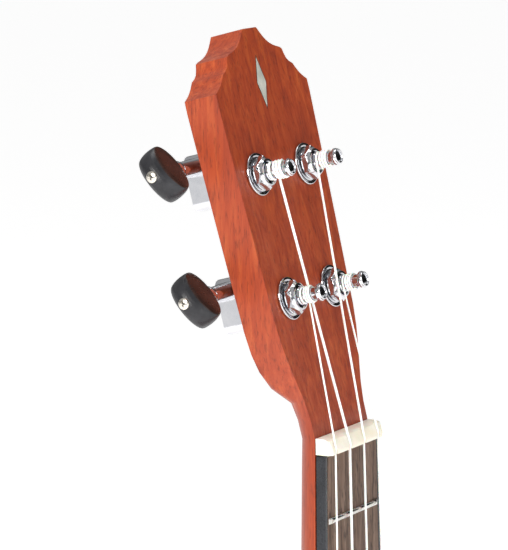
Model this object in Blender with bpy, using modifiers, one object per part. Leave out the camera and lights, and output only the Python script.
"""Concert ukulele hanging by its headstock, modelled as an assembly of separate pieces.

Metres. +Z runs up the neck, the strings face -Y and the bass side is at -X. The origin is the hanger
seat: the middle of the flare between neck and headstock, where a two-armed hanger carries it.
"""
import math

import bmesh
import bpy
from mathutils import Matrix, Vector

# ---- driving dimensions -----------------------------------------------------------------------
GAP = 0.0003  # clearance left between pieces that touch or are glued
SCALE_LENGTH = 0.381  # vibrating length from nut to saddle
NUT_Z = -0.020  # fretboard edge of the nut, below the hanger seat
BOARD_Y = -0.0098  # playing surface of the fretboard
BOARD_THICK = 0.0038
NUT_WIDTH = 0.036
NUT_LENGTH = 0.0054  # along the strings
FRET_COUNT = 18
JOIN_FRET = 14  # the body starts here
JOIN_WIDTH = 0.0455  # neck width there
STRINGS = ("g", "c", "e", "a")
STRING_DIA = {"g": 0.00065, "c": 0.00095, "e": 0.00080, "a": 0.00065}
NUT_SPREAD = 0.029  # between the outer strings at the nut
SADDLE_SPREAD = 0.042

NECK_DEPTH = 0.0112  # wood behind the fretboard at the nut
HEAD_TILT = math.radians(13.8)
HEAD_THICK = 0.0120
BUSHING_HOLE_RADIUS = 0.0039
POST_HEIGHT = 0.0129  # tip of a string post above the headstock face
TUNER_SIDE = {"g": -1, "c": -1, "e": 1, "a": 1}
TUNER_X = {"g": 0.0142, "c": 0.0157, "e": 0.0157, "a": 0.0142}
TUNER_Z = {"g": 0.0445, "c": 0.0848, "e": 0.0848, "a": 0.0445}

BODY_LENGTH = 0.275
BODY_DEPTH = 0.065
PLATE_THICK = 0.0020
RIB_THICK = 0.0018
HOLE_RADIUS = 0.0255
HOLE_DROP = 0.090  # centre of the soundhole below the neck joint

GEAR_TEETH = 14
GEAR_MODULE = 0.0006
GEAR_RADIUS = GEAR_TEETH * GEAR_MODULE / 2
WORM_RADIUS = 0.0023  # pitch radius
WORM_PITCH = math.pi * GEAR_MODULE
WORM_OFFSET = GEAR_RADIUS + WORM_RADIUS  # worm axis above the post axis
WORM_DEPTH = 0.0047  # worm axis behind the headstock's back

# ---- places worked out from them --------------------------------------------------------------
GLUE_Y = BOARD_Y + BOARD_THICK  # underside of the fretboard, top of the neck
BODY_Y = GLUE_Y + GAP  # outer face of the soundboard
JOIN_Z = NUT_Z - SCALE_LENGTH * (1 - 2 ** (-JOIN_FRET / 12))
TAIL_Z = JOIN_Z - BODY_LENGTH
BOARD_END_Z = NUT_Z - SCALE_LENGTH * (1 - 2 ** (-FRET_COUNT / 12)) - 0.004
SADDLE_Z = NUT_Z - SCALE_LENGTH - 0.0010
HOLE_Z = JOIN_Z - HOLE_DROP


def fret_z(number):
    return NUT_Z - SCALE_LENGTH * (1 - 2 ** (-number / 12))


def board_half_width(z):
    """Half the width of the fretboard, which widens evenly from the nut to the body."""
    share = (NUT_Z - z) / (NUT_Z - JOIN_Z)
    return (NUT_WIDTH + (JOIN_WIDTH - NUT_WIDTH) * share) / 2


# ---- scene and small helpers ------------------------------------------------------------------
for stale in list(bpy.data.objects):
    bpy.data.objects.remove(stale)

UKULELE = bpy.data.collections.new("ukulele")
TOOLS = bpy.data.collections.new("cutters")
bpy.context.scene.collection.children.link(UKULELE)
bpy.context.scene.collection.children.link(TOOLS)


def material(name, colour, roughness, metallic=0.0):
    made = bpy.data.materials.new(name)
    made.use_nodes = True
    shader = made.node_tree.nodes["Principled BSDF"]
    shader.inputs["Base Color"].default_value = (*colour, 1)
    shader.inputs["Roughness"].default_value = roughness
    shader.inputs["Metallic"].default_value = metallic
    return made


MAHOGANY = material("mahogany", (0.36, 0.09, 0.035), 0.45)
WALNUT = material("walnut", (0.17, 0.095, 0.06), 0.55)
SPRUCE = material("inner_wood", (0.62, 0.44, 0.27), 0.6)
BINDING = material("black_binding", (0.012, 0.012, 0.014), 0.3)
BONE = material("bone_plastic", (0.85, 0.80, 0.66), 0.35)
NYLON = material("nylon", (0.85, 0.85, 0.82), 0.3)
CHROME = material("chrome", (0.75, 0.75, 0.77), 0.12, 1.0)
STEEL = material("steel", (0.55, 0.55, 0.56), 0.3, 1.0)
BUTTON = material("black_button", (0.012, 0.010, 0.010), 0.35)


def link(obj, finish=None, parent=None, collection=UKULELE):
    collection.objects.link(obj)
    if finish is not None:
        obj.data.materials.clear()
        obj.data.materials.append(finish)
    if parent is not None:
        obj.parent = parent
    return obj


def helper(obj):
    """Marks an object as a cutter or a shape that is joined into another."""
    obj.hide_render = True
    obj.display_type = "WIRE"
    return link(obj, collection=TOOLS)


def empty(name, location, rotation=(0, 0, 0), parent=None):
    made = bpy.data.objects.new(name, None)
    made.location = location
    made.rotation_euler = rotation
    return link(made, parent=parent)


def mesh_object(name, builder):
    """An object whose mesh is filled in by builder(bm)."""
    bm = bmesh.new()
    builder(bm)
    bmesh.ops.recalc_face_normals(bm, faces=bm.faces)
    mesh = bpy.data.meshes.new(name)
    bm.to_mesh(mesh)
    bm.free()
    return bpy.data.objects.new(name, mesh)


def box(name, low, high):
    """An axis-aligned block between two corners."""
    size = Vector(high) - Vector(low)
    middle = (Vector(high) + Vector(low)) / 2
    place = Matrix.Translation(middle) @ Matrix.Diagonal((*size, 1))
    return mesh_object(name, lambda bm: bmesh.ops.create_cube(bm, size=1, matrix=place))


def cylinder(name, start, end, radius, segments=18, end_radius=None):
    """A cylinder or cone from start to end."""
    along = Vector(end) - Vector(start)
    turn = along.to_track_quat("Z", "Y").to_matrix().to_4x4()
    place = Matrix.Translation((Vector(start) + Vector(end)) / 2) @ turn
    top = radius if end_radius is None else end_radius
    return mesh_object(
        name,
        lambda bm: bmesh.ops.create_cone(
            bm, cap_ends=True, segments=segments, radius1=radius, radius2=top,
            depth=along.length, matrix=place,
        ),
    )


def turned(name, profile, steps=18, closed=False):
    """A profile of (radius, height) turned about local Z with a Screw modifier.

    A closed profile makes a ring, and an open one starts and ends on the axis.
    """
    mesh = bpy.data.meshes.new(name)
    points = [(radius, 0, height) for radius, height in profile]
    edges = [(i, i + 1) for i in range(len(points) - 1)]
    if closed:
        edges.append((len(points) - 1, 0))
    mesh.from_pydata(points, edges, [])
    made = bpy.data.objects.new(name, mesh)
    screw = made.modifiers.new("turn", "SCREW")
    screw.steps = screw.render_steps = steps
    screw.use_merge_vertices = True
    screw.merge_threshold = 0.00001
    screw.use_normal_calculate = True
    return made


def plate(name, outline, thickness, middle_y):
    """A flat outline of (x, z) points, as a filled 2D curve with that thickness along Y."""
    curve = bpy.data.curves.new(name, "CURVE")
    curve.dimensions = "2D"
    curve.fill_mode = "BOTH"
    curve.extrude = thickness / 2
    spline = curve.splines.new("POLY")
    spline.points.add(len(outline) - 1)
    for point, (x, z) in zip(spline.points, outline):
        point.co = (x, z, 0, 1)
    spline.use_cyclic_u = True
    made = bpy.data.objects.new(name, curve)
    made.rotation_euler = (math.pi / 2, 0, 0)
    made.location = (0, middle_y, 0)
    return made


def tube(name, points, radius, resolution=1):
    """A round wire through the points, with filled ends."""
    curve = bpy.data.curves.new(name, "CURVE")
    curve.dimensions = "3D"
    curve.bevel_depth = radius
    curve.bevel_resolution = resolution
    curve.use_fill_caps = True
    spline = curve.splines.new("POLY")
    spline.points.add(len(points) - 1)
    for point, place in zip(spline.points, points):
        point.co = (*place, 1)
    return bpy.data.objects.new(name, curve)


def loft(name, rings):
    """A closed body through rings of equally many points, capped at both ends."""

    def build(bm):
        rows = [[bm.verts.new(point) for point in ring] for ring in rings]
        for lower, upper in zip(rows, rows[1:]):
            for i in range(len(lower)):
                j = (i + 1) % len(lower)
                bm.faces.new((lower[i], lower[j], upper[j], upper[i]))
        bm.faces.new(rows[0])
        bm.faces.new(rows[-1])

    return mesh_object(name, build)


def baked(obj):
    """The object as one mesh, with its modifiers applied, its caps welded and its place kept."""
    if obj.name not in bpy.context.scene.collection.all_objects:
        helper(obj)
    bpy.context.view_layer.update()
    graph = bpy.context.evaluated_depsgraph_get()
    mesh = bpy.data.meshes.new_from_object(obj.evaluated_get(graph))
    mesh.transform(obj.matrix_world)
    bm = bmesh.new()
    bm.from_mesh(mesh)
    bmesh.ops.remove_doubles(bm, verts=bm.verts, dist=0.000002)
    bmesh.ops.recalc_face_normals(bm, faces=bm.faces)
    bm.to_mesh(mesh)
    bm.free()
    name = obj.name
    bpy.data.objects.remove(obj)
    made = bpy.data.objects.new(name, mesh)
    made.name = name
    return made


def boolean(obj, others, operation):
    """Joins the other shapes to obj, or cuts them from it, and returns the result as one mesh."""
    if obj.type != "MESH":
        obj = baked(obj)
    if obj.name not in bpy.context.scene.collection.all_objects:
        helper(obj)
    tools = []
    for other in others:
        tool = baked(other)
        helper(tool)
        tools.append(tool)
        modifier = obj.modifiers.new(operation.lower(), "BOOLEAN")
        modifier.operation = operation
        modifier.solver = "EXACT"
        modifier.object = tool
    result = baked(obj)
    for tool in tools:
        bpy.data.objects.remove(tool)
    return result


def cut(obj, *others):
    return boolean(obj, others, "DIFFERENCE")


def joined(obj, *others):
    return boolean(obj, others, "UNION")


def smooth(obj, angle=40):
    obj.data.shade_smooth()
    obj.data.set_sharp_from_angle(angle=math.radians(angle))
    return obj


def arc(centre, radius, start, end, count):
    """Points on an arc in degrees, both ends included."""
    angles = [math.radians(start + (end - start) * i / (count - 1)) for i in range(count)]
    return [(centre[0] + radius * math.cos(a), centre[1] + radius * math.sin(a)) for a in angles]


# ---- headstock frame --------------------------------------------------------------------------
# Local X across, local Y from the face to the back, local Z up the headstock from the nut.
HEAD_FRAME = empty("headstock_frame", (0, GLUE_Y, NUT_Z + NUT_LENGTH), (-HEAD_TILT, 0, 0))
HEAD_MATRIX = Matrix.Translation(HEAD_FRAME.location) @ Matrix.Rotation(-HEAD_TILT, 4, "X")


def cove(start, end, sag, count=7):
    """Points of a hollow curve from start to end, both (height, half width), bowed towards the face's
    middle by sag."""
    along = Vector(end) - Vector(start)
    inwards = Vector((-abs(along.y), -abs(along.x))).normalized()
    points = []
    for i in range(count):
        t = i / (count - 1)
        points.append(tuple(Vector(start) + along * t + inwards * (sag * math.sin(math.pi * t))))
    return points


def headstock_outline():
    """(height, half width) from the flare at the nut up to the stepped crest."""
    flare = [(0.0, 0.0180), (0.006, 0.0181), (0.012, 0.0192), (0.018, 0.0211), (0.024, 0.0231)]
    sides = [(0.030, 0.0248), (0.037, 0.0259), (0.060, 0.0273), (0.085, 0.0286), (0.108, 0.0297)]
    lower_cove = cove((0.1119, 0.0296), (0.1176, 0.0226), 0.0006)
    step = [(0.1185, 0.0206), (0.1196, 0.0192), (0.1211, 0.0184), (0.1229, 0.0177)]
    upper_cove = cove((0.1235, 0.0165), (0.1306, 0.0047), 0.0015, 8)
    return flare + sides + lower_cove + step + upper_cove + [(0.1309, 0.0042)]


def squared(share, squareness):
    """A cosine or sine pushed outwards, so that a circle turns into a rounded square. Zeros stay exact."""
    if abs(share) < 1e-9:
        return 0.0
    return math.copysign(abs(share) ** (2 / squareness), share)


def back_section(half_width, depth, squareness, count=15):
    """A flat-fronted section: (x, y) points round its back, from one front corner to the other."""
    points = []
    for i in range(count):
        a = math.pi * i / (count - 1)
        x, y = squared(math.cos(a), squareness), squared(math.sin(a), squareness)
        points.append((half_width * x, depth * y))
    return points


FLARE_START, FLARE_LENGTH = 0.006, 0.026  # where the round back turns into the square headstock


def neck_rings():
    """Sections of the neck from the heel's joint with the body up to the crest."""
    rings = []
    joint = JOIN_Z + GAP
    heel = [(0.0, 0.0610), (0.0015, 0.0585), (0.005, 0.0500), (0.009, 0.0400), (0.014, 0.0305)]
    heel += [(0.020, 0.0235), (0.028, 0.0180), (0.040, 0.0152), (0.080, 0.0138), (0.130, 0.0128)]
    heel += [(0.175, 0.0119), (NUT_Z - 0.006 - joint, NECK_DEPTH)]
    for rise, depth in heel:
        z = joint + rise
        squareness = 2.0 - 0.1 * min(1, rise / 0.04)
        section = back_section(board_half_width(z), depth, squareness)
        rings.append([(x, GLUE_Y + y, z) for x, y in section])
    for height, half_width in headstock_outline():
        blend = min(1, max(0, (height - FLARE_START) / FLARE_LENGTH))
        blend = blend * blend * (3 - 2 * blend)
        depth = NECK_DEPTH + (HEAD_THICK - NECK_DEPTH) * blend
        section = back_section(half_width, depth, 1.9 + 75 * blend ** 3)
        rings.append([HEAD_MATRIX @ Vector((x, y, height)) for x, y in section])
    return rings


def neck():
    body = loft("neck", neck_rings())
    holes = []
    for s in STRINGS:
        x = TUNER_SIDE[s] * TUNER_X[s]
        start = HEAD_MATRIX @ Vector((x, -0.002, TUNER_Z[s]))
        end = HEAD_MATRIX @ Vector((x, HEAD_THICK + 0.002, TUNER_Z[s]))
        holes.append(cylinder("hole_" + s, start, end, BUSHING_HOLE_RADIUS))
    return link(smooth(cut(body, *holes)), MAHOGANY)


# ---- fretboard --------------------------------------------------------------------------------
BINDING_WIDTH = 0.0015
FRET_BEVEL = 0.0018  # length of the sloped end
FRET_TANG = 0.0012  # depth in the board


def board_outline(inset):
    top = NUT_Z - GAP
    bottom = BOARD_END_Z + inset
    low, high = board_half_width(bottom) - inset, board_half_width(top) - inset
    return [(-low, bottom), (low, bottom), (high, top), (-high, top)]


def fret(number):
    """One fret: a crown with bevelled ends, on a tang sunk in the board."""
    z = fret_z(number)
    half = board_half_width(z) - BINDING_WIDTH - GAP - 0.0001
    top = half - FRET_BEVEL
    crown = [(-0.0010, 0.0), (-0.0007, 0.0007), (0.0, 0.0010), (0.0007, 0.0007), (0.0010, 0.0)]
    rings = []
    for x, level in ((-half, 0.0), (-top, 1.0), (top, 1.0), (half, 0.0)):
        ring = [(x, BOARD_Y - rise * level - 0.00015, z + side) for side, rise in crown]
        tang = BOARD_Y + FRET_TANG
        rings.append(ring + [(x, tang, z + 0.0010), (x, tang, z - 0.0010)])
    return loft("fret_%02d" % number, rings)


def fretboard():
    outline = board_outline(BINDING_WIDTH + GAP)
    board = plate("fretboard", outline, BOARD_THICK - GAP, BOARD_Y + (BOARD_THICK - GAP) / 2)
    board = joined(board, *[fret(number) for number in range(1, FRET_COUNT + 1)])
    link(board, WALNUT)
    rim = plate("fretboard_binding", board_outline(0), BOARD_THICK - GAP,
                BOARD_Y + (BOARD_THICK - GAP) / 2)
    inside = board_outline(BINDING_WIDTH)
    inside[2] = (inside[2][0], NUT_Z + 0.01)
    inside[3] = (inside[3][0], NUT_Z + 0.01)
    middle = plate("board_space", inside, BOARD_THICK * 3, BOARD_Y)
    link(cut(rim, middle), BINDING)


def string_x(s, spread):
    return spread * (STRINGS.index(s) / (len(STRINGS) - 1) - 0.5)


NUT_STRING_Y = BOARD_Y - 0.0017  # centres of the strings where they leave the nut


def nut():
    """The nut: level over the board's edge, then falling away, with chamfered ends and slots."""
    half, chamfer, low_crest = NUT_WIDTH / 2, 0.0009, BOARD_Y - 0.0009
    front, back = NUT_Z, NUT_Z + NUT_LENGTH - 0.0002
    profile = [(GLUE_Y - GAP, front), (BOARD_Y - 0.0021, front), (BOARD_Y - 0.0022, front + 0.0014),
               (BOARD_Y - 0.0008, back - 0.0006), (BOARD_Y + 0.0006, back), (GLUE_Y - GAP, back)]
    rings = []
    for x, crest in ((-half, low_crest), (chamfer - half, -1), (half - chamfer, -1), (half, low_crest)):
        rings.append([(x, max(y, crest), z) for y, z in profile])
    slots = []
    for s in STRINGS:
        radius, middle = STRING_DIA[s] / 2, string_x(s, NUT_SPREAD)
        floor, open_y = NUT_STRING_Y + radius + 0.0001, NUT_STRING_Y - 0.006
        width = radius + GAP + 0.0002
        side = [(open_y, front - 0.002), (floor, front - 0.002), (floor, front + 0.0010),
                (floor + 0.0022, front + 0.0094), (open_y, front + 0.0094)]
        ends = [[(middle + x, y, z) for y, z in side] for x in (-width, width)]
        slots.append(loft("slot_" + s, ends))
    return link(cut(loft("nut", rings), *slots), BONE)


# ---- tuners -----------------------------------------------------------------------------------
# Tuner frame: post axis along local Y, face of the headstock at y 0, knob towards local +X.
POST_RADIUS = 0.0029
WAIST_RADIUS = 0.0022
BACK = HEAD_THICK + GAP  # where the housing starts
WORM_Y = HEAD_THICK + WORM_DEPTH
WORM_CORE = 0.0016  # radius under the thread
SHAFT_RADIUS = 0.0019
SHAFT_IN_BUTTON = 0.0090
HOUSING_DEPTH = 0.0094
COLLAR_END = 0.0190  # outer end of the housing's collar, from the post axis
BUTTON_START = 0.0200
BUTTON_LENGTH = 0.0150
BUTTON_HALF_HEIGHT = 0.0088
BUTTON_HALF_THICK = 0.0042
BUTTON_TURN = math.radians(-27)  # the angle at which the knobs were left


def on_y(obj):
    """Turns a shape made about Z so that its +Z points to the front, along -Y."""
    obj.rotation_euler = (math.pi / 2, 0, 0)
    return obj


def on_x(obj):
    """Turns a shape made about Z so that its +Z points outwards, along +X."""
    obj.rotation_euler = (0, math.pi / 2, 0)
    return obj


def gear():
    """A spur wheel with narrow teeth, so that the worm has backlash."""
    outline = []
    for tooth in range(GEAR_TEETH):
        for share, radius in ((-0.21, 0.0034), (-0.10, 0.00465), (0.10, 0.00465), (0.21, 0.0034)):
            a = 2 * math.pi * (tooth + share) / GEAR_TEETH
            outline.append((radius * math.sin(a), radius * math.cos(a)))
    return plate("gear", outline, 0.0024, WORM_Y)


def tuner_post():
    """The string post with its gear: turned, waisted where the string winds, domed at the tip."""
    tip = POST_HEIGHT
    profile = [(0, tip), (0.0018, tip - 0.0001), (0.0027, tip - 0.0005), (0.0028, tip - 0.0012),
               (0.0024, tip - 0.0017), (WAIST_RADIUS, tip - 0.0022), (WAIST_RADIUS, 0.0053),
               (POST_RADIUS, 0.0048), (POST_RADIUS, -WORM_Y - 0.0022), (0, -WORM_Y - 0.0022)]
    return joined(on_y(turned("tuner_post", profile)), gear())


def worm_radius(x, angle):
    """Radius of the worm's surface: a right-handed thread on a core, fading out at both ends."""
    phase = (x / WORM_PITCH - angle / (2 * math.pi) + 0.75) % 1
    height = max(0, min(1, (0.20 - abs(phase - 0.5)) / 0.12))
    window = max(0, min(1, (WORM_PITCH * 1.45 - abs(x)) / 0.0004))
    return WORM_CORE + 0.0012 * height * window


def worm_shaft():
    """The worm and the shaft that carries the button, with a blind hole for its screw."""
    around, per_pitch, pitches = 14, 7, 3.2
    rings = []
    steps = int(pitches * per_pitch)
    for i in range(steps + 1):
        x = WORM_PITCH * pitches * (i / steps - 0.5)
        ring = []
        for j in range(around):
            a = 2 * math.pi * j / around
            radius = worm_radius(x, a)
            ring.append((x, radius * math.cos(a), radius * math.sin(a)))
        rings.append(ring)
    first, last = rings[0][0][0], rings[-1][0][0]

    def plain(x, radius):
        return [(x, radius * math.cos(2 * math.pi * j / around),
                 radius * math.sin(2 * math.pi * j / around)) for j in range(around)]

    inner = [plain(first - 0.0012, WORM_CORE)]
    outer = [plain(last + 0.0003, WORM_CORE), plain(last + 0.0003, SHAFT_RADIUS)]
    end, bore_radius = BUTTON_START + SHAFT_IN_BUTTON, 0.00135
    bore = [plain(end, SHAFT_RADIUS), plain(end, bore_radius), plain(end - 0.005, bore_radius)]
    return loft("worm_shaft", inner + rings + outer + bore)


def tuner_housing():
    """A cast cup, open towards the headstock, with a collar that the knob's shaft runs in."""
    outline = []
    radius = 0.0030
    corners = ((0.0066, 0.0106, 0), (-0.0066, 0.0106, 90), (-0.0066, -0.0074, 180), (0.0066, -0.0074, 270))
    for x, z, start in corners:
        centre = (x - math.copysign(radius, x), z - math.copysign(radius, z))
        outline += arc(centre, radius, start, start + 90, 4)
    middle = BACK + HOUSING_DEPTH / 2
    body = baked(plate("tuner_housing", outline, HOUSING_DEPTH, middle))
    z = WORM_OFFSET
    collar = cylinder("collar", (0.004, WORM_Y, z), (COLLAR_END, WORM_Y, z), 0.0032, 16, 0.0027)
    body = joined(body, collar)
    gear_room = cylinder("gear_room", (0, BACK - 0.0001, 0), (0, BACK + 0.0079, 0), 0.0052, 18)
    worm_room = cylinder("worm_room", (-0.0046, WORM_Y, z), (0.0046, WORM_Y, z), 0.0033, 14)
    shaft_hole = cylinder("shaft_hole", (0.003, WORM_Y, z), (0.03, WORM_Y, z), 0.0021, 14)
    return cut(body, gear_room, worm_room, shaft_hole)


def tuner_bushing():
    """A hexagon-headed bushing: its stem sits in the headstock's hole and the post runs in it."""
    count = 18

    def ring(radius, y, hexagon=False):
        points = []
        for j in range(count):
            a = 2 * math.pi * j / count
            r = radius
            if hexagon:
                r = radius * math.cos(math.pi / 6) / math.cos((a % (math.pi / 3)) - math.pi / 6)
            points.append((r * math.sin(a), y, r * math.cos(a)))
        return points

    rings = [ring(0.00312, 0.0090), ring(0.0035, 0.0090), ring(0.0035, -0.0016),
             ring(0.0056, -0.0016, True), ring(0.0056, -0.0034, True), ring(0.0046, -0.0043),
             ring(0.0037, -0.0046), ring(0.00312, -0.0046)]

    def build(bm):
        rows = [[bm.verts.new(point) for point in points] for points in rings]
        for lower, upper in zip(rows, rows[1:] + rows[:1]):
            for i in range(count):
                j = (i + 1) % count
                bm.faces.new((lower[i], lower[j], upper[j], upper[i]))

    return mesh_object("tuner_bushing", build)


def tuner_washer():
    profile = [(0.0038, GAP), (0.0069, GAP), (0.0069, 0.0007), (0.0062, 0.0012), (0.0038, 0.0013)]
    return on_y(turned("tuner_washer", profile, 20, closed=True))


def tuner_button():
    """An oval button: narrow faces, a broad rounded rim and a bore for shaft and screw."""
    half = [(-1.0, 0.40, 0.60), (-0.92, 0.68, 0.92), (-0.62, 0.90, 0.97), (0.0, 1.0, 1.0)]
    rings = []
    for y, length, height in half + [(-y, length, height) for y, length, height in half[-2::-1]]:
        ring = []
        for i in range(18):
            a = 2 * math.pi * i / 18
            x = BUTTON_START + BUTTON_LENGTH * (0.5 + 0.5 * length * math.cos(a))
            ring.append((x, BUTTON_HALF_THICK * y, BUTTON_HALF_HEIGHT * height * math.sin(a)))
        rings.append([Matrix.Rotation(BUTTON_TURN, 4, "X") @ Vector(point) for point in ring])
    body = loft("button", rings)
    start = BUTTON_START
    bore_end = start + SHAFT_IN_BUTTON + GAP
    bore = cylinder("bore", (start - 0.005, 0, 0), (bore_end, 0, 0), SHAFT_RADIUS + GAP, 14)
    hole = cylinder("hole", (start + 0.008, 0, 0), (start + 0.03, 0, 0), 0.0015, 12)
    seat = cylinder("seat", (start + BUTTON_LENGTH - 0.0008, 0, 0), (start + 0.03, 0, 0), 0.0021, 14)
    return cut(body, bore, hole, seat)


def button_screw():
    """The screw that holds the button: a domed head and a shank that reaches into the shaft."""
    head = BUTTON_START + BUTTON_LENGTH - 0.0005
    profile = [(0, head + 0.0012), (0.0010, head + 0.0010), (0.0018, head + 0.0004), (0.0018, head),
               (0.0011, head), (0.0011, head - 0.0095), (0, head - 0.0095)]
    return on_x(turned("button_screw", profile, 12))


def mirrored(mesh):
    """A copy of a mesh for the other side of the headstock."""
    made = mesh.copy()
    made.transform(Matrix.Scale(-1, 4, (1, 0, 0)))
    made.flip_normals()
    return made


def tuners():
    """Four tuners. Each copy of a piece is its own object on the mesh of its side."""
    on_post = {"housing": (tuner_housing, CHROME), "post": (tuner_post, CHROME),
               "bushing": (tuner_bushing, CHROME), "washer": (tuner_washer, CHROME)}
    on_knob = {"worm_shaft": (worm_shaft, STEEL), "button": (tuner_button, BUTTON),
               "button_screw": (button_screw, STEEL)}
    meshes = {}
    for piece, (build, finish) in {**on_post, **on_knob}.items():
        right = smooth(baked(build())).data
        right.materials.clear()
        right.materials.append(finish)
        meshes[piece] = {1: right, -1: mirrored(right)}
    for s in STRINGS:
        side = TUNER_SIDE[s]
        frame = empty("tuner_frame_" + s, (side * TUNER_X[s], 0, TUNER_Z[s]), parent=HEAD_FRAME)
        axis = empty("knob_axis_" + s, (0, WORM_Y, WORM_OFFSET), parent=frame)
        for piece in meshes:
            made = bpy.data.objects.new("tuner_%s_%s" % (s, piece), meshes[piece][side])
            link(made, parent=frame if piece in on_post else axis)


# ---- strings ----------------------------------------------------------------------------------
WIND_BASE = 0.0058  # centre of a string's lowest turn above the headstock face
WIND_TURNS = 3


def wind_radius(s):
    return WAIST_RADIUS + STRING_DIA[s] / 2 + 0.00008


def head_point(x, y, z):
    return HEAD_MATRIX @ Vector((x, y, z))


def post_wrap(s):
    """The last of the string's run: it meets the post's inner side and lies round it once."""
    side, radius, points = TUNER_SIDE[s], wind_radius(s), []
    for i in range(9):
        a = math.radians(8 + 33 * i)
        x = side * (TUNER_X[s] - radius * math.cos(a))
        z = TUNER_Z[s] + radius * math.sin(a)
        points.append(head_point(x, -WIND_BASE, z))
    return points


def string_run(s):
    """From the knot on the bridge, over saddle and nut, up to the post."""
    r = STRING_DIA[s] / 2
    bridge_x, nut_x = string_x(s, SADDLE_SPREAD), string_x(s, NUT_SPREAD)
    top = SADDLE_TOP_Y - r - 0.00005
    block = TIE_BLOCK_Z
    tie_top = BODY_Y - TIE_BLOCK_HEIGHT - r - GAP
    hole_y = BODY_Y - TIE_HOLE_HEIGHT
    loop = [
        (bridge_x + 0.0021, tie_top + 0.0022, block + 0.0017),
        (bridge_x + 0.0020, tie_top + 0.0006, block + 0.0010),
        (bridge_x + 0.0017, tie_top, block - 0.0004),
        (bridge_x + 0.0006, tie_top, block - 0.0072),
        (bridge_x + 0.0001, tie_top + 0.0010, block - 0.0086),
        (bridge_x, (tie_top + hole_y) / 2, block - 0.0092),
        (bridge_x, hole_y - 0.0004, block - 0.0086),
        (bridge_x, hole_y, block - 0.0076),
        (bridge_x, hole_y, block + 0.0003),
        (bridge_x, hole_y - 0.0006, block + 0.0016),
    ]
    saddle = [(bridge_x, top + 0.0006, SADDLE_Z - 0.0018), (bridge_x, top, SADDLE_Z - 0.0006),
              (bridge_x, top, SADDLE_Z + 0.0006)]
    over_nut = [(nut_x, NUT_STRING_Y, NUT_Z), (nut_x, NUT_STRING_Y - 0.0002, NUT_Z + 0.0016)]
    path = loop + saddle + over_nut
    return [Vector(p) for p in path] + post_wrap(s)


def winding(s):
    """The turns that ride on the post, above the run's own turn."""
    side, radius, dia = TUNER_SIDE[s], wind_radius(s), STRING_DIA[s]
    pitch = dia + 0.00015
    start = WIND_BASE + pitch
    points = []
    for i in range(10 * WIND_TURNS + 1):
        a = math.radians(36 * i - 60)
        x = side * (TUNER_X[s] - radius * math.cos(a))
        z = TUNER_Z[s] + radius * math.sin(a)
        level = start + pitch * i / 10
        points.append(head_point(x, -level, z))
    return points


def strings():
    for s in STRINGS:
        link(tube("string_" + s, string_run(s), STRING_DIA[s] / 2), NYLON)
        link(tube("string_%s_winding" % s, winding(s), STRING_DIA[s] / 2), NYLON)


# ---- body -------------------------------------------------------------------------------------
def body_half(inset, count=40):
    """Half of the body's outline as (x, z), from the neck joint to the tail, moved in by inset.

    A Catmull-Rom curve through the flat shoulder, upper bout, waist, lower bout and tail.
    """
    L = BODY_LENGTH
    keys = [(0.0, 0.0), (0.024, 0.0), (0.050, -0.006), (0.0715, -0.030), (0.0745, -0.060),
            (0.0655, -0.093), (0.0620, -0.112), (0.0690, -0.137), (0.0915, -0.168),
            (0.1020, -0.200), (0.0940, -0.237), (0.0640, -0.264), (0.0280, -0.2735), (0.0, -L)]
    dense = []
    for i in range(1, len(keys) - 1):
        before = keys[i - 1]
        a, b = keys[i], keys[i + 1]
        after = keys[i + 2] if i + 2 < len(keys) else (-keys[i][0], keys[i][1])
        for k in range(12):
            t = k / 12
            point = []
            for n in range(2):
                tangent_a = (b[n] - before[n]) / 2 if i > 1 else (b[n] - a[n]) * (1 - n)
                tangent_b = (after[n] - a[n]) / 2
                h00, h10 = 2 * t**3 - 3 * t**2 + 1, t**3 - 2 * t**2 + t
                h01, h11 = -2 * t**3 + 3 * t**2, t**3 - t**2
                point.append(h00 * a[n] + h10 * tangent_a + h01 * b[n] + h11 * tangent_b)
            dense.append(Vector(point))
    dense.append(Vector(keys[-1]))
    lengths = [0.0]
    for p, q in zip(dense, dense[1:]):
        lengths.append(lengths[-1] + (q - p).length)
    result = [Vector((0, -inset))]
    for i in range(count + 1):
        target = lengths[-1] * i / count
        j = min(len(dense) - 2, max(k for k in range(len(dense)) if lengths[k] <= target + 1e-9))
        span = lengths[j + 1] - lengths[j]
        point = dense[j].lerp(dense[j + 1], (target - lengths[j]) / span)
        tangent = (dense[j + 1] - dense[max(0, j - 1)]).normalized()
        if i == 0:
            tangent = Vector((1, 0))
        if i == count:
            tangent = Vector((-1, 0))
        result.append(point + Vector((tangent.y, -tangent.x)) * inset)
    result[-1].x = 0
    return [(p.x, p.y + JOIN_Z) for p in result]


def whole(half):
    """The closed outline from one half of it."""
    return half + [(-x, z) for x, z in reversed(half[1:-1])]


def plates():
    outline = whole(body_half(0))
    top = plate("soundboard", outline, PLATE_THICK, BODY_Y + PLATE_THICK / 2)
    hole = cylinder("soundhole", (0, BODY_Y - 0.01, HOLE_Z), (0, BODY_Y + 0.01, HOLE_Z), HOLE_RADIUS, 32)
    link(cut(top, hole), MAHOGANY)
    back_y = BODY_Y + BODY_DEPTH - PLATE_THICK / 2
    link(plate("back", outline, PLATE_THICK, back_y), MAHOGANY)


def strip(name, side, outer, inner, low_y, high_y, start=0, end=None):
    """A bent strip that follows one side of the body between two insets and two depths."""
    far, near = body_half(outer)[start:end], body_half(inner)[start:end]
    clear = GAP / 2
    rings = []
    for (ox, oz), (ix, iz) in zip(far, near):
        ox, ix = max(ox, clear), max(ix, clear)
        rings.append([(side * ox, low_y, oz), (side * ox, high_y, oz),
                      (side * ix, high_y, iz), (side * ix, low_y, iz)])
    return loft(name, rings)


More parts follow.
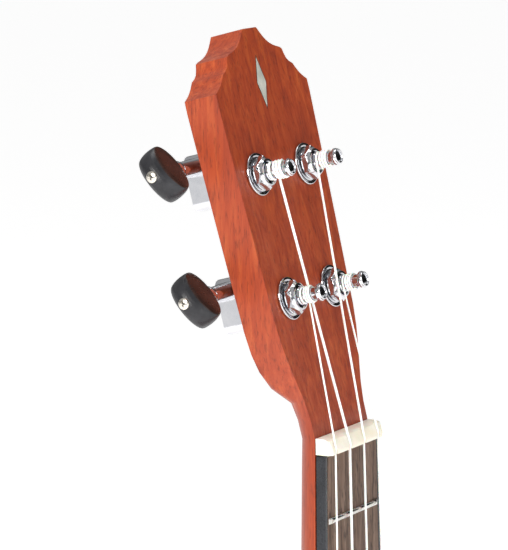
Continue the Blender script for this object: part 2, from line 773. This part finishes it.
INNER_FRONT_Y = BODY_Y + PLATE_THICK + GAP  # glued to the inside of the soundboard
INNER_BACK_Y = BODY_Y + BODY_DEPTH - PLATE_THICK - GAP


def rim():
    """Two bent ribs that meet at the joint and the tail, with a lining along each of their edges."""
    low, high = INNER_FRONT_Y, INNER_BACK_Y
    for name, side in (("bass", -1), ("treble", 1)):
        link(strip("rib_" + name, side, 0, RIB_THICK, low, high), MAHOGANY)
        inner = RIB_THICK + GAP
        lining_width, lining_depth = 0.0042, 0.0060
        for where, y in (("top", low), ("back", high - lining_depth)):
            name_here = "%s_lining_%s" % (where, name)
            made = strip(name_here, side, inner, inner + lining_width, y, y + lining_depth, 6, -4)
            link(made, SPRUCE)


def blocks():
    low, high = INNER_FRONT_Y, INNER_BACK_Y
    inner = RIB_THICK + GAP
    link(box("neck_block", (-0.022, low, JOIN_Z - inner - 0.014), (0.022, high, JOIN_Z - inner)), SPRUCE)
    tail = TAIL_Z + inner + 0.0008
    link(box("tail_block", (-0.017, low, tail), (0.017, high, tail + 0.010)), SPRUCE)


def brace(name, start, end, width, height, plate_y, into=1):
    """A straight bar glued to a plate between two (x, z) points, with its ends thinned."""
    a, b = Vector((start[0], 0, start[1])), Vector((end[0], 0, end[1]))
    along = (b - a).normalized()
    across = along.cross(Vector((0, 1, 0))) * width / 2
    rings = []
    for share, rise in ((0, 0.35), (0.14, 1.0), (0.86, 1.0), (1, 0.35)):
        middle = a.lerp(b, share)
        near = Vector((0, plate_y, 0))
        far = Vector((0, plate_y + into * height * rise, 0))
        rings.append([middle - across + near, middle + across + near,
                      middle + across * 0.6 + far, middle - across * 0.6 + far])
    return link(loft(name, rings), SPRUCE)


def bracing():
    top, back = INNER_FRONT_Y, INNER_BACK_Y
    above = HOLE_Z + HOLE_RADIUS + 0.010
    below = HOLE_Z - HOLE_RADIUS - 0.010
    brace("upper_brace", (-0.058, above), (0.058, above), 0.006, 0.010, top)
    brace("lower_brace", (-0.055, below), (0.055, below), 0.006, 0.010, top)
    plate_top, plate_bottom = SADDLE_Z + 0.004, SADDLE_Z - 0.026
    pad = box("bridge_plate", (-0.045, top, plate_bottom), (0.045, top + 0.0020, plate_top))
    link(pad, SPRUCE)
    fan_start, fan_end = plate_bottom - 0.003, plate_bottom - 0.052
    for name, x, spread in (("bass", -0.026, -0.010), ("centre", 0, 0), ("treble", 0.026, 0.010)):
        brace("fan_brace_" + name, (x, fan_start), (x + spread, fan_end), 0.005, 0.005, top)
    brace("back_brace_upper", (-0.062, JOIN_Z - 0.055), (0.062, JOIN_Z - 0.055), 0.006, 0.010, back, -1)
    brace("back_brace_lower", (-0.088, JOIN_Z - 0.200), (0.088, JOIN_Z - 0.200), 0.006, 0.010, back, -1)


# ---- bridge -----------------------------------------------------------------------------------
SADDLE_TOP_Y = BOARD_Y - 0.0057
SADDLE_LENGTH = 0.052
SADDLE_THICK = 0.0028
TIE_BLOCK_HEIGHT = 0.0082
TIE_HOLE_HEIGHT = 0.0042
TIE_BLOCK_Z = SADDLE_Z - 0.0095  # front of the tie block
TIE_BLOCK_LENGTH = 0.0070
SADDLE_RIB_HEIGHT = 0.0066
CHANNEL_HEIGHT = 0.0026  # floor between saddle rib and tie block
SADDLE_SLOT_HEIGHT = 0.0036  # floor of the saddle's slot
BRIDGE_HALF_MIDDLE = 0.029
BRIDGE_HALF_LENGTH = 0.042
BRIDGE_TOP_Z = SADDLE_Z + 0.0060
BRIDGE_BASE_Y = BODY_Y - GAP


def bridge():
    """A tie bridge: a saddle rib, a channel and a drilled tie block, on thin wings."""
    block_end, block_height = TIE_BLOCK_Z - TIE_BLOCK_LENGTH, TIE_BLOCK_HEIGHT - GAP
    heights = [(BRIDGE_TOP_Z, 0.0), (BRIDGE_TOP_Z, 0.0040), (SADDLE_Z + 0.0034, SADDLE_RIB_HEIGHT),
               (SADDLE_Z - 0.0030, SADDLE_RIB_HEIGHT), (SADDLE_Z - 0.0058, CHANNEL_HEIGHT),
               (TIE_BLOCK_Z, CHANNEL_HEIGHT), (TIE_BLOCK_Z, block_height), (block_end, block_height),
               (block_end - 0.0006, 0.0)]
    middle, end = BRIDGE_HALF_MIDDLE, BRIDGE_HALF_LENGTH
    rings = [[(x, BRIDGE_BASE_Y - h, z) for z, h in heights] for x in (-middle, middle)]
    body = loft("bridge", rings)
    wing_rings = []
    base, low, high = BRIDGE_BASE_Y, block_end, BRIDGE_TOP_Z - 0.0006
    root = middle - 0.002
    for x, h in ((-end, 0.0018), (-root, 0.0030), (root, 0.0030), (end, 0.0018)):
        wing_rings.append([(x, base, low), (x, base - h, low), (x, base - h, high), (x, base, high)])
    body = joined(body, loft("wings", wing_rings))
    half, thick = SADDLE_LENGTH / 2 + GAP, SADDLE_THICK / 2 + GAP
    slot = box("saddle_slot", (-half, BRIDGE_BASE_Y - 0.02, SADDLE_Z - thick),
               (half, BRIDGE_BASE_Y - SADDLE_SLOT_HEIGHT, SADDLE_Z + thick))
    holes = []
    for s in STRINGS:
        x, y = string_x(s, SADDLE_SPREAD), BODY_Y - TIE_HOLE_HEIGHT
        holes.append(cylinder("tie_hole_" + s, (x, y, TIE_BLOCK_Z + 0.002),
                              (x, y, TIE_BLOCK_Z - 0.012), 0.00085, 10))
    link(cut(body, slot, *holes), WALNUT)
    bottom = BRIDGE_BASE_Y - SADDLE_SLOT_HEIGHT - GAP
    profile = [(bottom, -1.0), (SADDLE_TOP_Y + 0.0006, -1.0), (SADDLE_TOP_Y, -0.35),
               (SADDLE_TOP_Y, 0.35), (SADDLE_TOP_Y + 0.0006, 1.0), (bottom, 1.0)]
    rings = [[(x, y, SADDLE_Z + share * SADDLE_THICK / 2) for y, share in profile]
             for x in (-SADDLE_LENGTH / 2, SADDLE_LENGTH / 2)]
    link(loft("saddle", rings), BONE)


def main():
    neck()
    fretboard()
    nut()
    tuners()
    strings()
    plates()
    rim()
    blocks()
    bracing()
    bridge()


main()
